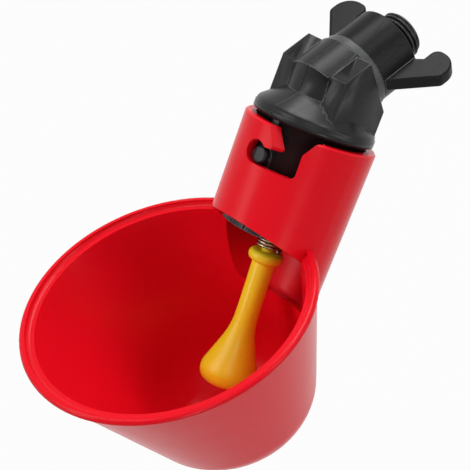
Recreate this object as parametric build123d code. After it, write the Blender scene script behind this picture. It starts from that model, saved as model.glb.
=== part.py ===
from build123d import *
import math
import os

# Poultry drinking cup: a bowl that hangs on a 45 degree valve elbow by a bayonet joint.
# Frame: millimetres, +Z up, +Y along the threaded inlet towards the wall, bowl towards -Y.
# The origin is on the inlet axis, at the shoulder that the sealing washer sits against.

# Bowl
rim_radius = 39.9          # outer edge of the lip
rim_reach = 72.5           # rim centre in front of the shoulder
rim_drop = 23.8            # rim plane below the inlet axis
bowl_depth = 53.5          # lip to the underside of the floor
base_radius = 21.0         # where the wall's slope would meet the floor
base_setback = 8.5         # floor centre behind the rim centre
base_round = 17.0          # outside round between wall and floor
lip_width = 3.2
lip_overhang = 0.3         # lip beyond the wall's line
lip_height = 1.6
lip_round = 1.1
lip_inner_round = 1.5
wall = 2.4                 # bowl wall at the floor

# Neck, measured down its axis from the elbow
neck_lean = 45.0           # neck axis from the vertical
elbow_back = 8.4           # elbow in front of the shoulder
neck_top = 10.4
neck_front_end = 36.5      # where the neck's front wall stops above the bowl
neck_front_tilt = 19.0     # degrees, how far its edge runs lower towards the sides
neck_radius = 18.1         # outside, at the top
neck_draft = 1.1           # degrees
neck_wall = 2.8            # at the top
neck_root = 58.0           # where the neck's form ends, inside the bowl
neck_edge = 0.5            # broken edge of the neck's mouth
mouth_height = 16.0        # how far the bowl's inner wall carries up under the neck

# Bayonet slot in the neck, as seen from the front (x across, s down the neck)
slot_bottom = 21.5
slot_pocket_room = 0.8     # pocket's round beyond the lug's
slot_pocket_x = 0.45
slot_near_x = 5.4          # entry's near wall, at the tongue's lower corner
slot_entry = 6.75          # entry's width
slot_mouth_near_x = 2.1    # entry's mouth, at the neck's top
slot_mouth_far_x = 14.0
slot_ramp = 4.2            # length of the ramp down the far side
slot_corner = 1.6
tongue_corner = 0.9
tongue_slant = 21.0        # degrees, the tongue's end reaches further inside than outside
slot_count = 2

# Valve body
flange_inset = 1.5         # flange's edge inside the neck's outside
flange_height = 1.9
flange_gap = 1.4           # flange to the neck's top
flange_step = 0.25
dome_round = 1.4
dome_rise = 5.9            # dome above the flange
core_radius = 10.0         # elbow along the neck axis
inlet_radius = 11.6        # elbow along the inlet axis, up to the shoulder
mitre_step = 0.12          # inlet's edge proud of the core at the top of the mitre
ear_outer = 12.5
ear_inner = 6.8
ear_top = 9.4              # above the inlet axis
ear_front = 7.5            # in front of the neck axis
ear_back = 10.4            # behind the neck axis
ear_end_gap = 0.4          # ear's end to the shoulder
ear_edge = 0.5
spigot_gap = 0.3           # spigot to the neck's bore
spigot_wall = 2.7
spigot_end = 36.5
chamber_top = 12.5
chamber_roof_rise = 7.3    # cone above the chamber, up to the passage
passage_radius = 4.0
lug_radius = 2.3
lug_gap = 0.3              # lug to the slot's walls
lug_turn = 4.5             # degrees around the neck from its front, towards the slot's entry
lug_reach = 2.2            # lug beyond the spigot
lug_round = 0.6
thread_radius = 6.58       # quarter inch pipe thread, major
inlet_length = 20.7
inlet_chamfer = 0.8

# Sealing washer and wing nut
seat_gap = 0.15            # between the faces of the stack
washer_radius = 11.0
washer_thick = 2.4
washer_round = 0.3
thread_clearance = 0.08
nut_radius = 10.6
nut_length = 12.0
nut_edge = 0.5
nut_rest_turn = 8.0        # degrees, how far the wings lean at rest
wing_thick = 3.8
wing_span = 20.6           # wing's outer edge from the axis
wing_start = 0.7           # wing's root above the nut's washer face
wing_slope = 45.0
wing_rise = 5.8            # wing's top beyond the nut's end
wing_notch = 1.9           # wing's inner edge out from the nut, above its end
wing_tip_round = 5.0
wing_inner_round = 2.4
wing_knee_round = 2.0
wing_edge = 0.6

# Valve seat and its retainer
fit_gap = 0.05
retainer_inset = 0.8       # retainer's rim inside the spigot's outside
retainer_flange = 2.6
retainer_plug = 4.9
retainer_hole = 2.9
notch_count = 18
notch_width = 0.6
notch_depth = 1.3
seat_radius = 7.0
seat_thick = 2.4
seat_hole = 2.1
seat_chamfer = 1.3

# Valve pin, spring and trigger: their own axis, with its zero at the ball's centre
pivot_depth = 3.5          # ball's centre above the spigot's end
trigger_sag = 4.0          # degrees that the trigger hangs below the neck axis
ball_gap = 0.11
ball_flat = 1.2            # ball's flat top above its centre
shank_radius = 1.2
shank_end = 24.0
bead_gap = 0.6             # spring to bead
bead_radius = 4.8
bead_height = 3.0
boss_radius = 1.75         # leaves the coil free when the trigger swings sideways
boss_height = 2.2
stem_radius = 3.2
paddle_length = 21.0       # from the end of the plain stem
flare_angle = 22.0
flare_round = 14.0         # sweep between stem and flare
paddle_shoulder = 2.5
paddle_radius = 7.9
paddle_round = 4.4
paddle_clearance = 9.32    # above the bowl's floor
spring_radius = 3.3        # centre of the wire
spring_wire = 0.38
spring_gap = 0.85          # retainer to spring, room for the tilt
spring_length = 4.2
spring_turns = 4

overcut = 1.0              # how far a cutting form runs past the face that it opens

os.makedirs("parts", exist_ok=True)

lean = math.radians(neck_lean)
elbow = Vector(0, -elbow_back, 0)
neck_frame = Plane(
    origin=elbow,
    x_dir=(1, 0, 0),
    z_dir=(0, -math.sin(lean), -math.cos(lean)),
).location
rim_frame = Location((0, -rim_reach, -rim_drop))
pivot_s = spigot_end - pivot_depth
trigger_frame = neck_frame * Pos(0, 0, pivot_s) * Rot(trigger_sag, 0, 0)
neck_bore = neck_radius - neck_wall
spigot_radius = neck_bore - spigot_gap
flange_radius = neck_radius - flange_inset
flange_bottom = neck_top - flange_gap
flange_top = flange_bottom - flange_height
slot_height = 2 * (lug_radius + lug_gap)
slot_pocket = lug_radius + slot_pocket_room
slot_far_x = slot_near_x + slot_entry
lug_s = slot_bottom - lug_gap - lug_radius
seat_low = spigot_end - fit_gap
seat_top = seat_low - seat_thick
retainer_start = spigot_end + fit_gap
retainer_end = retainer_start + retainer_flange
spring_start = retainer_end - pivot_s + spring_gap
spring_end = spring_start + spring_length
bead_top = spring_end + bead_gap


def turned(outline):
    """A solid of revolution about Z from an outline of (radius, height) edges."""
    return revolve(Plane.XZ * make_face(outline), Axis.Z, 360)


def disc(radius, low, high):
    return Pos(0, 0, low) * Cylinder(radius, high - low, align=(Align.CENTER, Align.CENTER, Align.MIN))


def bowl_form(top_radius, bottom_radius, depth, setback, bottom_round):
    """An oblique cone, open end up at height zero, with a rounded floor."""
    top = Circle(top_radius)
    bottom = Pos(0, setback, -depth) * Circle(bottom_radius)
    form = loft([bottom, top], ruled=True)
    return fillet(form.edges().sort_by(Axis.Z)[0], bottom_round)


def slot_outline(depth):
    """The bayonet slot's entry and sideways leg, seen from the front at a depth into the neck."""
    slant = depth * math.tan(math.radians(tongue_slant))
    leg_top = slot_bottom - slot_height
    above = neck_top - overcut
    far_slope = (slot_mouth_far_x - slot_far_x) / slot_ramp
    near_slope = (slot_near_x - slot_mouth_near_x) / (leg_top - neck_top)
    outline = (
        (slot_mouth_near_x - near_slope * overcut + slant, above),
        (slot_mouth_far_x + far_slope * overcut, above),
        (slot_far_x, neck_top + slot_ramp),
        (slot_far_x, slot_bottom),
        (slot_pocket_x, slot_bottom),
        (slot_pocket_x, leg_top),
        (slot_near_x + slant, leg_top),
    )
    face = make_face(Polyline(*outline, close=True))
    for corner, radius in ((3, slot_corner), (6, tongue_corner)):
        face = fillet(face.vertices().sort_by_distance(outline[corner])[0], radius)
    return Plane.XZ.offset(depth - neck_radius) * face


def make_slot():
    inner_depth = neck_radius - math.sqrt(neck_bore**2 - slot_far_x**2) + overcut
    cut = loft([slot_outline(-overcut), slot_outline(inner_depth)], ruled=True)
    pocket = Rot(-90, 0, 0) * disc(slot_pocket, neck_radius - inner_depth, neck_radius + overcut)
    return cut + Pos(slot_pocket_x, 0, slot_bottom - slot_pocket) * pocket


def make_cup():
    inner_radius = rim_radius - lip_width
    outside = bowl_form(rim_radius - lip_overhang, base_radius, bowl_depth, base_setback, base_round)
    lip = disc(rim_radius, -lip_height, 0)
    lip = fillet(lip.edges().sort_by(Axis.Z)[-1], lip_round)
    lip = chamfer(lip.edges().sort_by(Axis.Z)[0], lip_overhang)
    outside += lip
    inside = bowl_form(
        inner_radius, base_radius - wall, bowl_depth - wall, base_setback, base_round - wall
    )
    flare = inner_radius + lip_inner_round
    mouth_round = turned(
        Polyline((0, overcut), (flare, overcut), (flare, 0))
        + RadiusArc((flare, 0), (inner_radius, -lip_inner_round), lip_inner_round)
        + Polyline((inner_radius, -lip_inner_round), (0, -lip_inner_round), (0, overcut))
    )
    bowl = outside - inside - mouth_round

    root_radius = neck_radius - (neck_root - neck_top) * math.tan(math.radians(neck_draft))
    neck = turned(
        Polyline(
            (0, neck_top), (neck_radius, neck_top), (root_radius, neck_root), (0, neck_root), close=True
        )
    )
    neck = chamfer(neck.edges().filter_by(GeomType.CIRCLE).sort_by(Axis.Z)[0], neck_edge)
    mouth = rim_frame * (inside + disc(inner_radius, 0, mouth_height))
    front_edge = neck_frame * Pos(0, neck_radius, neck_front_end) * Rot(-neck_front_tilt, 0, 0)
    beyond = front_edge * disc(3 * rim_radius, 0, 4 * rim_radius)
    neck = neck_frame * neck - (mouth & beyond)

    bore = neck_frame * disc(neck_bore, neck_top - overcut, neck_root - overcut)
    cup = rim_frame * bowl + neck - bore
    slot = make_slot()
    for number in range(slot_count):
        cup -= neck_frame * Rot(0, 0, 360 / slot_count * number) * slot
    return cup


def inlet_turned(outline):
    """A solid of revolution about the inlet axis from an outline of (radius, distance) edges."""
    return Rot(-90, 0, 0) * turned(outline)


def inlet_disc(radius, start, end):
    return Rot(-90, 0, 0) * disc(radius, start, end)


def make_ear():
    """One side plate of the elbow, drawn in the YZ plane with the elbow as its zero."""
    across = math.cos(lean)
    along = math.sin(lean)
    back_y = elbow_back - ear_end_gap
    front_y = (ear_top * along - ear_front) / across
    back_z = (back_y * across - ear_back) / along
    foot = flange_top * along
    front_foot = (-foot - ear_front * across, -foot + ear_front * along)
    back_foot = (-foot + ear_back * across, -foot - ear_back * along)
    plate = make_face(
        Polyline((front_y, ear_top), (back_y, ear_top), (back_y, back_z), back_foot, front_foot, close=True)
    )
    ear = Pos(ear_inner, 0, 0) * extrude(Plane.YZ * plate, amount=ear_outer - ear_inner)
    ear = chamfer(ear.faces().sort_by(Axis.X)[-1].edges(), ear_edge)
    return Pos(0, -elbow_back, 0) * ear


def make_elbow():
    """Two plain tubes' outsides that meet in a crisp mitre between the ears."""
    corner = math.sin(lean) * elbow_back
    crown = core_radius + mitre_step
    mitre_slope = (inlet_radius * math.cos(lean) - crown) / (math.sin(lean) * inlet_radius)
    mitre = Plane(origin=elbow, x_dir=(1, 0, 0), z_dir=(0, 1, -mitre_slope))
    inlet = inlet_disc(inlet_radius, -elbow_back - corner, 0)
    core = neck_frame * disc(core_radius, -inlet_radius, flange_top)
    return split(inlet, bisect_by=mitre, keep=Keep.TOP) + split(core, bisect_by=mitre, keep=Keep.BOTTOM)


def make_valve_body():
    shoulder_radius = flange_radius - flange_step
    shoulder = (shoulder_radius, flange_top)
    dome_edge = (shoulder_radius - dome_round / 2, flange_top - dome_round)
    chamber_radius = spigot_radius - spigot_wall
    dome_top = flange_top - dome_rise
    chamber_roof = chamber_top - chamber_roof_rise
    dome = turned(
        Polyline((0, dome_top), (core_radius, dome_top), dome_edge)
        + Spline(dome_edge, shoulder, tangents=((1, 1), (0, 1)))
        + Polyline(
            shoulder,
            (flange_radius, flange_top + flange_step),
            (flange_radius, flange_bottom),
            (spigot_radius, flange_bottom),
            (spigot_radius, spigot_end),
            (chamber_radius, spigot_end),
            (chamber_radius, chamber_top),
            (passage_radius, chamber_roof),
            (0, chamber_roof),
            (0, dome_top),
        )
    )
    lug = Rot(-90, 0, 0) * disc(lug_radius, chamber_radius + spigot_wall / 2, spigot_radius + lug_reach)
    lug = fillet(lug.edges().sort_by(Axis.Y)[-1], lug_round)
    for number in range(slot_count):
        dome += Rot(0, 0, 360 / slot_count * number - lug_turn) * Pos(0, 0, lug_s) * lug
    body = neck_frame * dome + make_elbow()
    ear = make_ear()
    body += ear
    body += mirror(ear, Plane.YZ)
    stem = inlet_disc(thread_radius, 0, inlet_length)
    stem = chamfer(stem.edges().sort_by(Axis.Y)[-1], inlet_chamfer)
    body += stem
    body -= inlet_disc(passage_radius, -elbow_back, inlet_length + overcut)
    body -= Pos(0, -elbow_back, 0) * Sphere(passage_radius)
    body -= neck_frame * disc(passage_radius, 0, chamber_top)
    return body


def make_wing():
    """The nut's wing on the +X side, a flat plate in the plane of the axis with a rounded tip."""
    slope_end_y = wing_start + (wing_span - nut_radius) * math.tan(math.radians(wing_slope))
    top_y = nut_length + wing_rise
    root_top_y = nut_length - nut_edge
    wing_root = (thread_radius + nut_radius) / 2
    outline = (
        (wing_root, wing_start),
        (nut_radius, wing_start),
        (wing_span, slope_end_y),
        (wing_span, top_y),
        (nut_radius + wing_notch, top_y),
        (nut_radius + wing_notch, nut_length + wing_notch / 2),
        (nut_radius, root_top_y),
        (wing_root, root_top_y),
    )
    plate = make_face(Polyline(*outline, close=True))
    rounds = ((2, wing_knee_round), (3, wing_tip_round), (4, wing_inner_round))
    for corner, radius in rounds:
        plate = fillet(plate.vertices().sort_by_distance(outline[corner])[0], radius)
    wing = extrude(plate, amount=wing_thick / 2, both=True)
    outer = wing.edges().filter_by(lambda edge: edge.center().X > nut_radius)
    groups = outer.group_by(Axis.Z)
    return fillet(groups[0] + groups[-1], wing_edge)


def thread_hole(length):
    return inlet_disc(thread_radius + thread_clearance, -overcut, length + overcut)


def make_wing_nut():
    barrel = inlet_disc(nut_radius, 0, nut_length)
    barrel = fillet(barrel.edges().sort_by(Axis.Y)[-1], nut_edge)
    wing = make_wing()
    nut = barrel + wing + mirror(wing, Plane.YZ) - thread_hole(nut_length)
    return Pos(0, 2 * seat_gap + washer_thick, 0) * Rot(0, nut_rest_turn, 0) * nut


def make_washer():
    ring = inlet_disc(washer_radius, 0, washer_thick)
    ring = fillet(ring.edges(), washer_round)
    return Pos(0, seat_gap, 0) * (ring - thread_hole(washer_thick))


def make_retainer():
    """The plug that closes the spigot: a notched rim below, and a pocket for the seat above."""
    plug = disc(spigot_radius - spigot_wall - fit_gap, spigot_end - retainer_plug, retainer_start)
    rim = spigot_radius - retainer_inset
    plug += disc(rim, retainer_start, retainer_end)
    notch_middle = Pos(rim, 0, retainer_end - notch_depth / 2)
    notch = notch_middle * Box(notch_depth * 2, notch_width, notch_depth)
    for number in range(notch_count):
        plug -= Rot(0, 0, 360 / notch_count * number) * notch
    plug -= disc(seat_radius + fit_gap, 0, spigot_end)
    plug -= disc(retainer_hole, 0, retainer_end + overcut)
    return neck_frame * plug


def make_seat():
    ring = disc(seat_radius, seat_top, seat_low) - disc(seat_hole, seat_top - overcut, seat_low + overcut)
    ring = chamfer(ring.edges().group_by(Axis.Z)[0].sort_by(SortBy.RADIUS)[0], seat_chamfer)
    return neck_frame * ring


def make_pin():
    """Ball headed pin; the ball's centre is the trigger's pivot, and the ball rests in the seat's cone."""
    cone_distance = (seat_hole + seat_chamfer + seat_top - pivot_s) / math.sqrt(2)
    ball_radius = cone_distance - ball_gap
    ball = Sphere(ball_radius) - disc(2 * ball_radius, -2 * ball_radius, -ball_flat)
    return trigger_frame * (ball + disc(shank_radius, 0, shank_end))


def make_spring():
    rise = spring_end - spring_start - 2 * spring_wire
    route = Helix(rise / spring_turns, rise, spring_radius)
    start = Plane(origin=route @ 0, z_dir=route % 0)
    coil = sweep(start * Circle(spring_wire), path=route, is_frenet=True)
    return trigger_frame * Pos(0, 0, spring_start + spring_wire) * coil


def make_trigger():
    """Bead, stem and flared paddle, moulded on the pin."""
    bead_low = bead_top + bead_height
    bead_side = bead_radius - bead_height / 2
    trigger_lean = math.radians(neck_lean - trigger_sag)
    paddle_low = rim_drop + bowl_depth - wall - paddle_clearance - pivot_s * math.cos(lean)
    paddle_side = (paddle_radius - paddle_round) * math.sin(trigger_lean)
    trigger_end = paddle_round + (paddle_low - paddle_side - paddle_round) / math.cos(trigger_lean)
    flare_start = trigger_end - paddle_length
    flare_run = (paddle_radius - stem_radius) / math.tan(math.radians(flare_angle))
    flare_end = flare_start + flare_run
    outline = (
        (0, bead_top - boss_height),
        (boss_radius, bead_top - boss_height),
        (boss_radius, bead_top),
        (bead_side, bead_top),
    )
    lower = (
        (bead_side, bead_low),
        (stem_radius, bead_low),
        (stem_radius, flare_start),
        (paddle_radius, flare_end),
        (paddle_radius, trigger_end),
        (0, trigger_end),
        (0, bead_top - boss_height),
    )
    bead_middle = (bead_radius, (bead_top + bead_low) / 2)
    bead = ThreePointArc((bead_side, bead_top), bead_middle, (bead_side, bead_low))
    face = make_face(Polyline(*outline) + bead + Polyline(*lower))
    rounds = (((stem_radius, flare_start), flare_round), ((paddle_radius, trigger_end), paddle_round))
    for corner, radius in rounds:
        face = fillet(face.vertices().sort_by_distance(corner)[0], radius)
    face = fillet(face.vertices().sort_by_distance((paddle_radius, flare_end))[0], paddle_shoulder)
    trigger = revolve(Plane.XZ * face, Axis.Z, 360)
    return trigger_frame * (trigger - disc(shank_radius, 0, shank_end))


def make_all():
    pieces = {
        "cup": make_cup(),
        "valve_body": make_valve_body(),
        "sealing_washer": make_washer(),
        "wing_nut": make_wing_nut(),
        "seat_retainer": make_retainer(),
        "valve_seat": make_seat(),
        "valve_pin": make_pin(),
        "return_spring": make_spring(),
        "trigger": make_trigger(),
    }
    for name, piece in pieces.items():
        piece.label = name
        print(name, round(piece.volume, 1), len(piece.solids()), "solid")
        export_step(piece, "parts/" + name + ".step")


make_all()
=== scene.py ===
import math

import bmesh
import bpy
from mathutils import Euler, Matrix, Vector


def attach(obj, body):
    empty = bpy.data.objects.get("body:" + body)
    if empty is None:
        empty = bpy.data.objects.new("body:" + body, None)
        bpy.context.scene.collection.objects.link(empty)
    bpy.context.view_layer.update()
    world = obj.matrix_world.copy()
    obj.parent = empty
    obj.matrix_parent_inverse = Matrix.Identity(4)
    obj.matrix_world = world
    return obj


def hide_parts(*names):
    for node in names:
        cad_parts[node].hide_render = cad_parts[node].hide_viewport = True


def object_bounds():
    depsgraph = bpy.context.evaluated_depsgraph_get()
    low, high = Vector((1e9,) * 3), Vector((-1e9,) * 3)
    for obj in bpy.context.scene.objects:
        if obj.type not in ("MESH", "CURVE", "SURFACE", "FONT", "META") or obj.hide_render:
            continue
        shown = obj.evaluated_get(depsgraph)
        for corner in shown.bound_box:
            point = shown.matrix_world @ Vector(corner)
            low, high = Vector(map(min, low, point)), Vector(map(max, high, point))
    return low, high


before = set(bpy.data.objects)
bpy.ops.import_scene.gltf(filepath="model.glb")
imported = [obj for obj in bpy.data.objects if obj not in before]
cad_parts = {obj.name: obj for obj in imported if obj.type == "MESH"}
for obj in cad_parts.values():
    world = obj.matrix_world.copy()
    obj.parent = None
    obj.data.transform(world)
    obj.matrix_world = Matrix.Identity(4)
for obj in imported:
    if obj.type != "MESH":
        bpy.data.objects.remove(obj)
cadLow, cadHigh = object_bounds()
scene = bpy.context.scene
print("frame loaded with", len(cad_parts), "nodes")

# The camera stands where the photograph's perspective puts it.
photoCamera = {
    "place": (0.33579, -0.22699, 0.31259),
    "turn": (47.2565, 14.2734, 48.9996),  # degrees about X, Y, Z
    "lens": 149.36,
    "sensor": 36.0,
}


def makeCamera():
    data = bpy.data.cameras.new("photoCamera")
    data.lens = photoCamera["lens"]
    data.sensor_width = photoCamera["sensor"]
    data.clip_start = 0.01
    data.clip_end = 20
    camera = bpy.data.objects.new("photoCamera", data)
    camera.location = photoCamera["place"]
    camera.rotation_euler = Euler([math.radians(angle) for angle in photoCamera["turn"]])
    scene.collection.objects.link(camera)
    scene.camera = camera
    return camera


camera = makeCamera()
scene.view_settings.view_transform = "Standard"
print("camera placed")


class Value:
    # a socket's value, so that the maths of a finish reads as plain arithmetic
    def __init__(self, finish, socket):
        self.finish = finish
        self.socket = socket

    def maths(self, operation, first, second):
        return self.finish.node("ShaderNodeMath", {"operation": operation}, {0: first, 1: second})

    def __add__(self, other):
        return self.maths("ADD", self, other)

    def __sub__(self, other):
        return self.maths("SUBTRACT", self, other)

    def __rsub__(self, other):
        return self.maths("SUBTRACT", other, self)

    def __mul__(self, other):
        return self.maths("MULTIPLY", self, other)

    __radd__ = __add__
    __rmul__ = __mul__

    def size(self):
        return self.finish.node("ShaderNodeMath", {"operation": "ABSOLUTE"}, {0: self})

    def limited(self):
        return self.finish.node("ShaderNodeClamp", {}, {0: self})


class Finish:
    def __init__(self, name):
        self.material = bpy.data.materials.new(name)
        self.material.use_nodes = True
        self.tree = self.material.node_tree
        self.shader = self.tree.nodes["Principled BSDF"]
        self.place = self.node("ShaderNodeTexCoord", output="Object")

    def plug(self, socket, value):
        if isinstance(value, Value):
            self.tree.links.new(value.socket, socket)
        else:
            socket.default_value = value

    def node(self, kind, settings=None, sockets=None, output=0):
        made = self.tree.nodes.new(kind)
        for name, value in (settings or {}).items():
            if name == "stops":
                for stop, (position, grey) in zip(made.color_ramp.elements, value):
                    stop.position = position
                    stop.color = (grey, grey, grey, 1)
            else:
                setattr(made, name, value)
        for name, value in (sockets or {}).items():
            self.plug(made.inputs[name], value)
        return Value(self, made.outputs[output])

    def mapped(self, scale, turn=(0, 0, 0)):
        return self.node(
            "ShaderNodeMapping",
            {},
            {"Vector": self.place, "Scale": scale, "Rotation": [math.radians(angle) for angle in turn]},
        )

    def noise(self, size, detail=3.0, roughness=0.5, where=None):
        # size is that of the blotches, in metres
        return self.node(
            "ShaderNodeTexNoise",
            {},
            {"Vector": where or self.place, "Scale": 1 / size, "Detail": detail, "Roughness": roughness},
        )

    def ramp(self, value, low, high):
        return self.node("ShaderNodeValToRGB", {"stops": ((low, 0), (high, 1))}, {0: value})

    def mixed(self, share, first, second):
        under = first if isinstance(first, Value) else (*first, 1)
        sockets = {0: share, 6: under, 7: (*second, 1)}
        return self.node("ShaderNodeMix", {"data_type": "RGBA"}, sockets, output=2)

    def along(self, axis):
        return self.node("ShaderNodeSeparateXYZ", {}, {0: self.place}, "XYZ".index(axis))

    def bump(self, height, depth, under=None):
        sockets = {"Height": height, "Distance": depth, "Strength": 1.0}
        if under:
            sockets["Normal"] = under
        return self.node("ShaderNodeBump", {}, sockets)

    def surface(self, **sockets):
        for name, value in sockets.items():
            self.plug(self.shader.inputs[name.replace("_", " ")], value)


# What all moulded plastics share: each look below adds its own colours and sizes.
plasticGrain = {
    "detail": 2.0,
    "flowDetail": 4.0,
    "flowRoughness": 0.6,
    "flowStretch": (1, 0.25, 0.25),
    "flowTurn": (45, 0, 0),  # degrees, and so for the scratches
    "speckStops": (0.66, 0.74),
    "scratchStretch": (1, 0.12, 1),
    "scratchTurn": (20, 35, 10),
    "scratchStops": (0.0, 0.035),
    # where the mask of the painted edge highlight begins
    "edgeHighlightStart": 0.02,
    "edgeSamples": 8,
}


def mouldedPlastic(name, look):
    finish = Finish(name)
    shared = plasticGrain
    drift = finish.noise(look["driftSize"], shared["detail"])
    flowPlace = finish.mapped(shared["flowStretch"], shared["flowTurn"])
    flow = finish.noise(look["flowSize"], shared["flowDetail"], shared["flowRoughness"], flowPlace)
    colour = finish.mixed(drift, look["colour"], look["deepColour"])
    speck = finish.ramp(finish.noise(look["speckSize"], shared["detail"]), *shared["speckStops"])
    colour = finish.mixed(speck * look["speckShare"], colour, look["speckColour"])
    scratchPlace = finish.mapped(shared["scratchStretch"], shared["scratchTurn"])
    scratch = finish.node(
        "ShaderNodeTexVoronoi",
        {"feature": "DISTANCE_TO_EDGE"},
        {"Vector": scratchPlace, "Scale": 1 / look["scratchSize"]},
    )
    unworn = finish.ramp(scratch, *shared["scratchStops"])
    roughness = flow * look["roughnessDrift"] + (look["roughness"] - look["roughnessDrift"] / 2)
    roughness = roughness + (1 - unworn) * look["scratchRoughness"]
    grain = finish.noise(look["grainSize"], shared["detail"])
    waves = finish.noise(look["waveSize"], shared["detail"])
    rounded = None
    if "edgeRadius" in look:
        # edges catch the light as a moulding's small radius does, through the bevelled normal, and the paler
        # grey mixed in along them is a painted highlight
        samples = {"samples": shared["edgeSamples"]}
        rounded = finish.node("ShaderNodeBevel", samples, {"Radius": look["edgeRadius"]})
        flat = finish.node("ShaderNodeNewGeometry", output="Normal")
        dotProduct = {"operation": "DOT_PRODUCT"}
        alike = finish.node("ShaderNodeVectorMath", dotProduct, {0: rounded, 1: flat}, "Value")
        edge = finish.ramp(1 - alike, shared["edgeHighlightStart"], look["edgeHighlightReach"])
        # painted highlight: the pale edge colour is mixed into the base colour along the edges
        colour = finish.mixed(edge * (flow * look["edgeHighlightShare"]), colour, look["edgeHighlightColour"])
    normal = finish.bump(waves, look["waveDepth"], rounded)
    normal = finish.bump(grain, look["grainDepth"], normal)
    if "seamWidth" in look:
        # the line that the two halves of the mould leave in the plane x = 0
        seam = (1 - finish.along("X").size() * (2 / look["seamWidth"])).limited()
        normal = finish.bump(seam, look["seamDepth"], normal)
    finish.surface(Base_Color=colour, Roughness=roughness, Normal=normal)
    finish.surface(IOR=look["ior"], Specular_IOR_Level=look["gloss"])
    return finish.material


redLook = {
    "colour": (0.730, 0.0040, 0.0140),
    "deepColour": (0.690, 0.0030, 0.0110),
    "speckColour": (0.70, 0.03, 0.04),
    "speckShare": 0.25,
    "speckSize": 0.0009,
    "driftSize": 0.05,
    "flowSize": 0.012,
    "scratchSize": 0.009,
    "scratchRoughness": 0.01,
    "roughness": 0.25,
    "roughnessDrift": 0.08,
    "grainSize": 0.0004,
    "grainDepth": 0.000006,
    "waveSize": 0.012,
    "waveDepth": 0.00012,
    "ior": 1.49,
    "gloss": 0.11,
}
blackLook = {
    "colour": (0.0075, 0.0075, 0.0080),
    "deepColour": (0.0055, 0.0055, 0.0060),
    "speckColour": (0.05, 0.05, 0.05),
    "speckShare": 0.35,
    "speckSize": 0.0007,
    "driftSize": 0.02,
    "flowSize": 0.006,
    "scratchSize": 0.005,
    "scratchRoughness": 0.08,
    "roughness": 0.31,
    "roughnessDrift": 0.10,
    "grainSize": 0.00035,
    "grainDepth": 0.000010,
    "waveSize": 0.008,
    "waveDepth": 0.00006,
    "ior": 1.47,
    "gloss": 0.22,
    # the edge values below paint a pale highlight line along the edges, a painted highlight
    "edgeRadius": 0.0005,
    "edgeHighlightReach": 0.15,
    "edgeHighlightShare": 0.9,
    "edgeHighlightColour": (0.34, 0.34, 0.34),
}
yellowLook = {
    "colour": (0.88, 0.66, 0.020),
    "deepColour": (0.86, 0.61, 0.015),
    "speckColour": (0.85, 0.48, 0.012),
    "speckShare": 0.3,
    "speckSize": 0.0008,
    "driftSize": 0.015,
    "flowSize": 0.006,
    "scratchSize": 0.006,
    "scratchRoughness": 0.05,
    "roughness": 0.28,
    "roughnessDrift": 0.08,
    "grainSize": 0.0004,
    "grainDepth": 0.000006,
    "waveSize": 0.006,
    "waveDepth": 0.00008,
    "ior": 1.49,
    "gloss": 0.25,
}
greyLook = dict(
    blackLook,
    colour=(0.068, 0.070, 0.072),
    deepColour=(0.050, 0.052, 0.054),
    speckColour=(0.16, 0.16, 0.16),
    roughness=0.34,
)
sealLook = dict(blackLook, roughness=0.6, colour=(0.02, 0.02, 0.02))


wireLook = {
    "colour": (0.42, 0.34, 0.25),
    "tarnishColour": (0.24, 0.18, 0.12),
    "tarnishSize": 0.0012,
    "tarnishDetail": 3.0,
    "tarnishRoughness": 0.15,
    "roughness": 0.20,
    "drawnSize": 0.0003,
    "drawnDetail": 2.0,
    "drawnStretch": (1, 1, 0.1),
    "drawnDepth": 0.000006,
}


def steelWire(name, look):
    finish = Finish(name)
    tarnish = finish.noise(look["tarnishSize"], look["tarnishDetail"])
    drawn = finish.noise(look["drawnSize"], look["drawnDetail"], 0.5, finish.mapped(look["drawnStretch"]))
    finish.surface(
        Base_Color=finish.mixed(tarnish, look["colour"], look["tarnishColour"]),
        Roughness=tarnish * look["tarnishRoughness"] + look["roughness"],
        Normal=finish.bump(drawn, look["drawnDepth"]),
        Metallic=1.0,
    )
    return finish.material


bodyLook = dict(blackLook, seamWidth=0.0007, seamDepth=0.00025)
nutLook = dict(blackLook, gloss=0.10)
finishes = {
    "cup": mouldedPlastic("redPlastic", redLook),
    "valve_body": mouldedPlastic("bodyPlastic", bodyLook),
    "wing_nut": mouldedPlastic("nutPlastic", nutLook),
    "seat_retainer": mouldedPlastic("retainerPlastic", blackLook),
    "sealing_washer": mouldedPlastic("greyWasher", greyLook),
    "valve_seat": mouldedPlastic("softSeal", sealLook),
    "trigger": mouldedPlastic("yellowPlastic", yellowLook),
    "valve_pin": steelWire("pinSteel", wireLook),
    "return_spring": steelWire("springSteel", wireLook),
}


def dress(piece, material):
    if not piece.data.materials:
        piece.data.materials.append(material)
    for slot in piece.material_slots:
        slot.material = material


for nodeName, material in finishes.items():
    dress(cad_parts[nodeName], material)
print("finishes given to", len(finishes), "pieces")


def addPiece(name, shape, sharpAngle, material):
    print("open edges on", name + ":", sum(not edge.is_manifold for edge in shape.edges))
    mesh = bpy.data.meshes.new(name)
    shape.to_mesh(mesh)
    shape.free()
    mesh.polygons.foreach_set("use_smooth", [True] * len(mesh.polygons))
    mesh.set_sharp_from_angle(angle=math.radians(sharpAngle))
    mesh.materials.append(material)
    piece = bpy.data.objects.new(name, mesh)
    scene.collection.objects.link(piece)
    return piece


# A quarter inch pipe thread in place of the inlet's plain stub.
inletThread = {
    "crestRadius": 0.00658,
    "rootRadius": 0.00580,
    "pitch": 0.001337,
    "crestShare": 0.14,  # flat crest and root, as shares of the pitch
    "start": 0.0003,  # from the shoulder, under the washer
    "end": 0.0207,
    "taper": 0.0008,
    "boreRadius": 0.0040,
    "steps": 44,  # round one turn
    "sharpAngle": 25,  # degrees
}


def radiusOf(point):
    return math.hypot(point.x, point.z)


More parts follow.
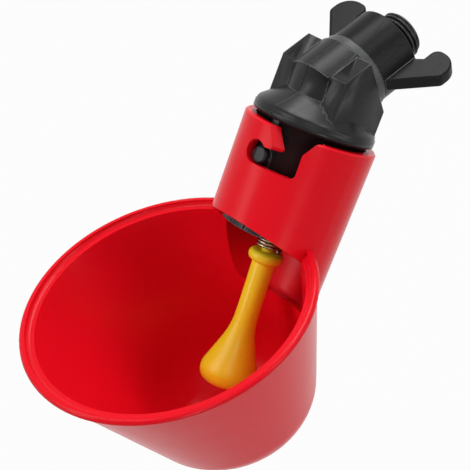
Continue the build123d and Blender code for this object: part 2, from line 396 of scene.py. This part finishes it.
def cutAcross(shape, y, **clear):
    everything = shape.verts[:] + shape.edges[:] + shape.faces[:]
    bmesh.ops.bisect_plane(shape, geom=everything, dist=1e-7, plane_co=(0, y, 0), plane_no=(0, 1, 0), **clear)


def makeHelix(sizes):
    shape = bmesh.new()
    crest, root, pitch = sizes["crestRadius"], sizes["rootRadius"], sizes["pitch"]
    flat = sizes["crestShare"]
    profile = ((0, crest), (flat, crest), (0.5, root), (0.5 + flat, root), (1, crest))
    points = [shape.verts.new((0, (share - 2) * pitch, radius)) for share, radius in profile]
    edges = [shape.edges.new(pair) for pair in zip(points, points[1:])]
    turns = math.ceil((sizes["end"] - sizes["start"]) / pitch) + 4
    bmesh.ops.spin(
        shape, geom=points + edges, cent=(0, 0, 0), axis=(0, 1, 0), dvec=(0, pitch / sizes["steps"], 0),
        angle=math.tau * turns, steps=sizes["steps"] * turns,
    )
    bmesh.ops.remove_doubles(shape, verts=shape.verts, dist=1e-6)
    cutAcross(shape, sizes["start"], clear_inner=True)
    cutAcross(shape, sizes["end"] - sizes["taper"])
    cutAcross(shape, sizes["end"], clear_outer=True)
    for vert in shape.verts:
        past = vert.co.y - (sizes["end"] - sizes["taper"])
        share = min(1, (crest - past) / radiusOf(vert.co)) if past > 0 else 1
        vert.co.x *= share
        vert.co.z *= share
    return shape


def bridgeAt(shape, y):
    loops = [
        edge for edge in shape.edges
        if edge.is_boundary and all(abs(vert.co.y - y) < 1e-6 for vert in edge.verts)
    ]
    bmesh.ops.bridge_loops(shape, edges=loops)


def makeThreadedBody(sizes):
    helix = makeHelix(sizes)
    helixMesh = bpy.data.meshes.new("helix")
    helix.to_mesh(helixMesh)
    helix.free()
    shape = bmesh.new()
    shape.from_mesh(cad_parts["valve_body"].data)
    bmesh.ops.remove_doubles(shape, verts=shape.verts, dist=1e-6)
    cutAcross(shape, sizes["start"])
    stub = [
        face for face in shape.faces
        if face.calc_center_median().y > sizes["start"]
        and radiusOf(face.calc_center_median()) > sizes["boreRadius"] * 1.02
    ]
    bmesh.ops.delete(shape, geom=stub, context="FACES")
    shape.from_mesh(helixMesh)
    bridgeAt(shape, sizes["start"])
    bridgeAt(shape, sizes["end"])
    bmesh.ops.remove_doubles(shape, verts=shape.verts, dist=1e-7)
    bmesh.ops.recalc_face_normals(shape, faces=shape.faces)
    body = addPiece("threadedBody", shape, sizes["sharpAngle"], finishes["valve_body"])
    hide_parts("valve_body")
    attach(body, "valve")


makeThreadedBody(inletThread)
print("thread cut on the inlet")

# The trigger, turned about its own axis: distances run from the ball's centre down the stem.
triggerShape = {
    "pivot": (0, -0.0317345, -0.0233345),
    "lean": 41.0,  # degrees from the vertical
    "boreRadius": 0.0012,
    "boreEnd": 0.0240,
    "bossTop": 0.0096,
    "bossRadius": 0.00175,
    "beadTop": 0.0118,
    "beadLow": 0.0148,
    "beadSide": 0.0033,  # where the bead's rounds begin
    "beadRadius": 0.0048,
    "beadFillet": 0.0004,
    "stemRadius": 0.0032,
    "waistRadius": 0.00305,
    "waist": 0.0250,
    "flareStart": 0.0345,
    "flareBend": 0.0040,  # along the stem, to each side of the flare's start
    "flareEnd": 0.0463,
    "shoulder": 0.0015,
    "shoulderEnd": 0.0009,
    "paddleRadius": 0.0079,
    "endRound": 0.0042,
    "endDome": 0.0006,
    "end": 0.0515,
    "steps": 72,
    "sharpAngle": 40,
}


def curved(start, bend, end, count):
    # points on a quadratic curve, without its start
    made = []
    for number in range(1, count + 1):
        share = number / count
        made.append(tuple(
            (1 - share) ** 2 * a + 2 * share * (1 - share) * b + share ** 2 * c
            for a, b, c in zip(start, bend, end)
        ))
    return made


def triggerOutline(sizes):
    # (radius, distance) from the pin's hole, over the bead and down the stem to the paddle's end
    bore, stem, paddle = sizes["boreRadius"], sizes["stemRadius"], sizes["paddleRadius"]
    bead, beadTop, beadLow = sizes["beadRadius"], sizes["beadTop"], sizes["beadLow"]
    start, end = sizes["flareStart"], sizes["end"]
    slope = (paddle - stem) / (sizes["flareEnd"] - start)
    bend, shoulder = sizes["flareBend"], sizes["shoulder"]
    beadIn = (sizes["beadSide"], beadTop)
    beadWide = (bead, (beadTop + beadLow) / 2)
    beadOut = (sizes["beadSide"], beadLow)
    stemTop = (stem, beadLow + sizes["beadFillet"])
    stemLow = (stem, start - bend)
    flareIn = (stem + slope * bend, start + bend)
    flareOut = (paddle - slope * shoulder, sizes["flareEnd"] - shoulder)
    wide = (paddle, sizes["flareEnd"] + sizes["shoulderEnd"])
    corner = (paddle - sizes["endRound"], end - sizes["endDome"])
    outline = [
        (bore, sizes["boreEnd"]),
        (bore, sizes["bossTop"]),
        (sizes["bossRadius"], sizes["bossTop"]),
        (sizes["bossRadius"], beadTop),
        beadIn,
    ]
    outline += curved(beadIn, (bead, beadTop), beadWide, 6)
    outline += curved(beadWide, (bead, beadLow), beadOut, 6)
    outline += curved(beadOut, (stem, beadLow), stemTop, 3)
    outline += curved(stemTop, (sizes["waistRadius"], sizes["waist"]), stemLow, 8)
    outline += curved(stemLow, (stem, start), flareIn, 8)
    outline.append(flareOut)
    outline += curved(flareOut, (paddle, sizes["flareEnd"]), wide, 5)
    outline += curved(wide, (paddle, end - sizes["endDome"]), corner, 9)
    outline += curved(corner, (bore, end), (0, end), 4)
    return outline


def makeTrigger(sizes):
    shape = bmesh.new()
    points = [shape.verts.new((0, 0, -sizes["boreEnd"]))]
    points += [shape.verts.new((radius, 0, -distance)) for radius, distance in triggerOutline(sizes)]
    edges = [shape.edges.new(pair) for pair in zip(points, points[1:])]
    bmesh.ops.spin(
        shape, geom=points + edges, cent=(0, 0, 0), axis=(0, 0, 1), angle=math.tau,
        steps=sizes["steps"], use_merge=True,
    )
    bmesh.ops.remove_doubles(shape, verts=shape.verts, dist=1e-6)
    bmesh.ops.recalc_face_normals(shape, faces=shape.faces)
    turn = Euler((math.radians(-sizes["lean"]), 0, 0)).to_matrix()
    bmesh.ops.rotate(shape, verts=shape.verts, cent=(0, 0, 0), matrix=turn)
    bmesh.ops.translate(shape, verts=shape.verts, vec=sizes["pivot"])
    trigger = addPiece("turnedTrigger", shape, sizes["sharpAngle"], finishes["trigger"])
    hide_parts("trigger")
    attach(trigger, "lever")


makeTrigger(triggerShape)
print("trigger turned")

stageLook = {
    "floorDrop": 0.10,  # floor below the lowest point, in metres
    "size": 6.0,
    "paperColour": (0.37, 0.37, 0.37),
    "paperDeepColour": (0.35, 0.35, 0.35),
    "paperRoughness": 0.9,
    "paperSize": 0.002,
    "whitened": 0.96,  # how much of the floor shows as plain white to the camera and in reflections
    "worldStrength": 0.19,
}


def makeFloor():
    mesh = bpy.data.meshes.new("floor")
    shape = bmesh.new()
    bmesh.ops.create_grid(shape, x_segments=1, y_segments=1, size=stageLook["size"] / 2)
    bmesh.ops.translate(shape, verts=shape.verts, vec=(0, 0, cadLow.z - stageLook["floorDrop"]))
    shape.to_mesh(mesh)
    shape.free()
    floor = bpy.data.objects.new("floor", mesh)
    scene.collection.objects.link(floor)
    finish = Finish("palePaper")
    tree = finish.tree
    paper = finish.noise(stageLook["paperSize"], 2.0)
    colour = finish.mixed(paper, stageLook["paperColour"], stageLook["paperDeepColour"])
    finish.surface(Base_Color=colour, Roughness=stageLook["paperRoughness"])
    glow = finish.node("ShaderNodeEmission", {}, {"Color": (1, 1, 1, 1), "Strength": 1.0})
    rays = tree.nodes.new("ShaderNodeLightPath")
    seen = Value(finish, rays.outputs["Is Camera Ray"]) + Value(finish, rays.outputs["Is Transmission Ray"])
    seen = seen + Value(finish, rays.outputs["Is Glossy Ray"])
    blend = tree.nodes.new("ShaderNodeMixShader")
    finish.plug(blend.inputs[0], seen.limited() * stageLook["whitened"])
    tree.links.new(finish.shader.outputs[0], blend.inputs[1])
    tree.links.new(glow.socket, blend.inputs[2])
    tree.links.new(blend.outputs[0], tree.nodes["Material Output"].inputs["Surface"])
    floor.data.materials.append(finish.material)


def makeWorld():
    world = bpy.data.worlds.new("studio")
    scene.world = world
    world.use_nodes = True
    tree = world.node_tree
    background = tree.nodes["Background"]
    background.inputs["Color"].default_value = (1, 1, 1, 1)
    rays = tree.nodes.new("ShaderNodeLightPath")
    total = rays.outputs["Is Camera Ray"]
    for name in ("Is Glossy Ray", "Is Transmission Ray"):
        joined = tree.nodes.new("ShaderNodeMath")
        joined.operation = "MAXIMUM"
        tree.links.new(total, joined.inputs[0])
        tree.links.new(rays.outputs[name], joined.inputs[1])
        total = joined.outputs[0]
    scaled = tree.nodes.new("ShaderNodeMapRange")
    tree.links.new(total, scaled.inputs["Value"])
    scaled.inputs["To Min"].default_value = stageLook["worldStrength"]
    scaled.inputs["To Max"].default_value = 1.0
    tree.links.new(scaled.outputs[0], background.inputs["Strength"])


# Lamps are placed from the camera: right, up and towards it, in metres from the cup's neck.
lamps = {
    "frontPanel": {"from": (0.05, 0.25, 1.3), "size": (0.5, 0.5), "watts": 1.8},
    "topPanel": {"from": (0.1, 1.2, 0.2), "size": (0.6, 0.5), "watts": 8.2},
    "leftPanel": {"from": (-1.1, 0.3, 0.4), "size": (0.45, 0.5), "watts": 3.2},
    "lowLeftPanel": {"from": (-1.1, -0.15, 0.4), "size": (0.3, 0.3), "watts": 1.9},
    "highPanel": {"from": (0.6, 1.0, 0.6), "size": (0.4, 0.4), "watts": 3.6},
    "keyPanel": {"from": (-0.9, 0.7, 0.9), "size": (0.6, 0.6), "watts": 5.2},
    "rightPanel": {"from": (0.9, 0.1, 0.6), "size": (0.25, 0.8), "watts": 2.4},
    "lowPanel": {"from": (0.2, -0.9, 0.8), "size": (0.25, 0.5), "watts": 6.6},
}
lampTarget = Vector((0, -0.05, -0.03))


def makeLamps():
    turn = camera.rotation_euler.to_matrix()
    for name, lamp in lamps.items():
        data = bpy.data.lights.new(name, "AREA")
        data.shape = "RECTANGLE"
        data.size, data.size_y = lamp["size"]
        data.energy = lamp["watts"]
        holder = bpy.data.objects.new(name, data)
        away = turn @ Vector(lamp["from"])
        holder.location = lampTarget + away
        holder.rotation_euler = away.to_track_quat("Z", "Y").to_euler()
        scene.collection.objects.link(holder)


makeFloor()
makeWorld()
makeLamps()
print("floor, world and lamps set")
